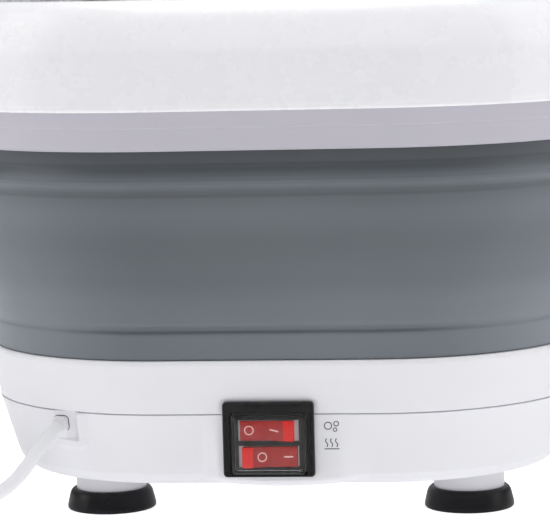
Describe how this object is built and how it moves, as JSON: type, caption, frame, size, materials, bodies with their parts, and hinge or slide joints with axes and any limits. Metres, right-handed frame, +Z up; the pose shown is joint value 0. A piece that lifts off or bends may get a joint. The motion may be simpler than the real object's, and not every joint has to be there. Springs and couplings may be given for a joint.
{
  "type": "foot spa basin",
  "caption": "Collapsible foot bath with a rigid rim, a soft folding wall, a powered base on rubber feet and a covered pair of rocker switches.",
  "frame": {"origin": "on the floor, under the middle of the object", "axes": "front (the side with the switches) faces -Y, +X is to the right seen from the front, +Z is up"},
  "size_m": [0.3832, 0.3984, 0.219],
  "materials": {
    "rim_white": "glossy moulded white plastic",
    "rim_underside": "glossy moulded white plastic",
    "wall_grey": "satin blue-grey thermoplastic rubber, slightly translucent",
    "base_white": "satin moulded white plastic",
    "gasket_grey": "soft grey sealing rubber",
    "black_rubber": "satin black rubber",
    "black_plastic": "satin black plastic",
    "clear_cover": "clear soft plastic",
    "rocker_red": "translucent red plastic",
    "lamp_amber": "small neon lamp",
    "zinc_screw": "zinc plated steel",
    "steel_pin": "bright steel",
    "brass_tab": "brass",
    "cord_white": "flexible white cord sheath",
    "tie_black": "woven black tie",
    "nylon_ivory": "ivory nylon",
    "wire_brown": "insulated wire",
    "aluminium_plate": "rolled aluminium",
    "ceramic_tan": "film wrapped ceramic heater",
    "bracket_steel": "plated steel strip",
    "thermostat_black": "moulded phenolic",
    "fuse_white": "ceramic body",
    "motor_can": "pressed steel can",
    "pump_black": "moulded black plastic",
    "hose_clear": "milky silicone tube",
    "valve_white": "white plastic",
    "bar_white": "white plastic",
    "roller_blue": "blue-grey moulded plastic"
  },
  "bodies": {
    "base": {"wall_lower_band": "wall_grey", "tub": "base_white", "bottom_cover": "base_white", "housing_gasket": "gasket_grey", "cover_screws": "zinc_screw", "rubber_foot_front_left": "black_rubber", "rubber_foot_front_right": "black_rubber", "rubber_foot_rear_left": "black_rubber", "rubber_foot_rear_right": "black_rubber", "foot_screws": "zinc_screw", "switch_gasket": "gasket_grey", "switch_bezel": "black_plastic", "splash_cover": "clear_cover", "switch_body": "black_plastic", "rocker_pin": "steel_pin", "indicator_lamps": "lamp_amber", "switch_terminals": "brass_tab", "cord_gland": "cord_white", "gland_nut": "nylon_ivory", "power_cord": "cord_white", "power_cord_tail": "cord_white", "power_cord_coil": "cord_white", "cord_tie": "tie_black", "plug_body": "cord_white", "plug_blades": "brass_tab", "terminal_block": "nylon_ivory", "internal_wires": "wire_brown", "heater_plate": "aluminium_plate", "heater_element": "ceramic_tan", "heater_clamp": "bracket_steel", "thermostat": "thermostat_black", "thermal_fuse": "fuse_white", "air_pump_motor": "motor_can", "air_pump_head": "pump_black", "pump_bracket": "bracket_steel", "air_hose": "hose_clear", "check_valve": "valve_white", "bubble_bar": "bar_white", "roller_cradle_left": "base_white", "roller_cradle_right": "base_white", "roller_axles": "steel_pin"},
    "rim": {"rim_frame": "rim_white", "rim_clamp_ring": "rim_underside", "rim_screws": "zinc_screw", "wall_upper_band": "wall_grey"},
    "wall_fold": {"wall_fold_panel": "wall_grey"},
    "bubble_rocker": {"bubble_rocker": "rocker_red"},
    "heating_rocker": {"heating_rocker": "rocker_red"},
    "roller_front_left": {"roller_front_left": "roller_blue"},
    "roller_rear_left": {"roller_rear_left": "roller_blue"},
    "roller_front_right": {"roller_front_right": "roller_blue"},
    "roller_rear_right": {"roller_rear_right": "roller_blue"}
  },
  "joints": [
    {"name": "rim_fold", "type": "slide", "parent": "base", "child": "rim", "axis": [0, 0, -1], "range_m": [0, 0.098]},
    {"name": "wall_fold", "type": "slide", "parent": "base", "child": "wall_fold", "axis": [0, 0, -1], "range_m": [0, 0.049]},
    {"name": "bubble_rocker_turn", "type": "hinge", "parent": "base", "child": "bubble_rocker", "pos_m": [0, -0.172, 0.0457], "axis": [0, 0, 1], "range_deg": [0, 16]},
    {"name": "heating_rocker_turn", "type": "hinge", "parent": "base", "child": "heating_rocker", "pos_m": [0, -0.172, 0.0349], "axis": [0, 0, -1], "range_deg": [0, 16]},
    {"name": "roller_front_left_spin", "type": "hinge", "parent": "base", "child": "roller_front_left", "pos_m": [-0.046, -0.045, 0.069], "axis": [1, 0, 0], "continuous": true},
    {"name": "roller_rear_left_spin", "type": "hinge", "parent": "base", "child": "roller_rear_left", "pos_m": [-0.046, 0.005, 0.069], "axis": [1, 0, 0], "continuous": true},
    {"name": "roller_front_right_spin", "type": "hinge", "parent": "base", "child": "roller_front_right", "pos_m": [0.046, -0.045, 0.069], "axis": [1, 0, 0], "continuous": true},
    {"name": "roller_rear_right_spin", "type": "hinge", "parent": "base", "child": "roller_rear_right", "pos_m": [0.046, 0.005, 0.069], "axis": [1, 0, 0], "continuous": true}
  ],
  "couplings": [
    {"joint": "wall_fold", "follows": "rim_fold", "ratio": 0.5}
  ]
}
